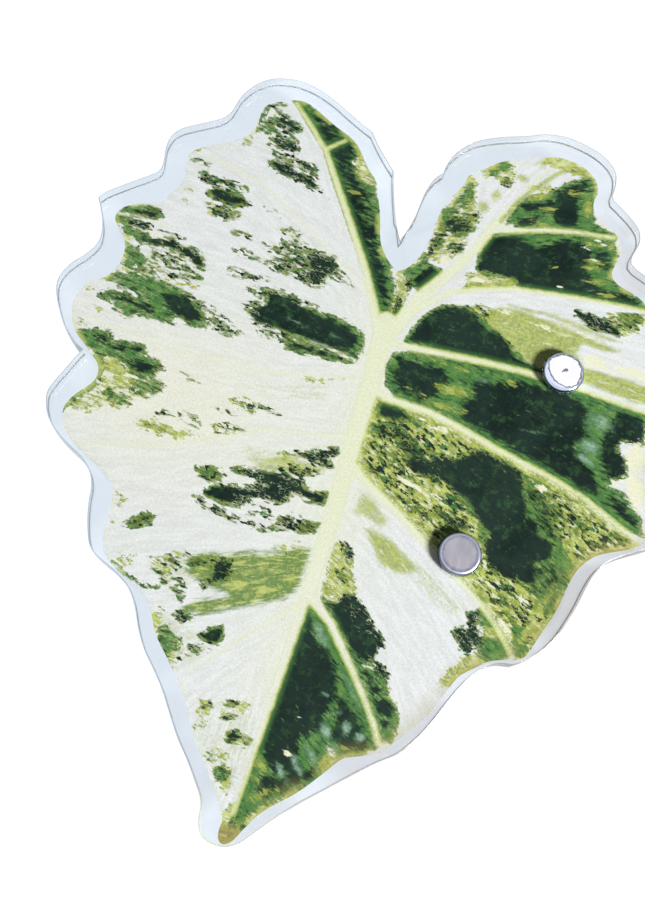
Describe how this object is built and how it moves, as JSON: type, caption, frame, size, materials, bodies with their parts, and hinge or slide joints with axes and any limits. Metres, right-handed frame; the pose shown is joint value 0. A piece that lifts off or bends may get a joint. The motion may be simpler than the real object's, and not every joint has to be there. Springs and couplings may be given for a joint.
{
  "type": "leaf-shaped acrylic magnet",
  "caption": "Flat clear acrylic cut-out of a variegated arrowhead leaf with disc magnets glued to its printed back, for holding notes on a steel surface",
  "frame": {"origin": "middle of the bounding box, on the flat front face that lies on the table", "axes": "+Z is the sheet's thickness, out of the back with the magnets; +Y runs along the leaf's midrib from the pointed tip to the two lobes; +X is to the right when the magnets face the viewer and the tip is down"},
  "size_m": [0.0798, 0.0958, 0.0042],
  "materials": {
    "clear_acrylic": "clear cast acrylic sheet with fine laser-cut edges",
    "leaf_ink": "matte cured ink with a fine pebbled grain",
    "clear_glue": "glossy clear glue",
    "nickel_plate": "bright nickel plate"
  },
  "bodies": {
    "root": {"acrylic_plate": "clear_acrylic", "leaf_print": "leaf_ink", "glue_upper": "clear_glue", "glue_lower": "clear_glue", "magnet_upper": "nickel_plate", "magnet_lower": "nickel_plate"}
  },
  "joints": []
}
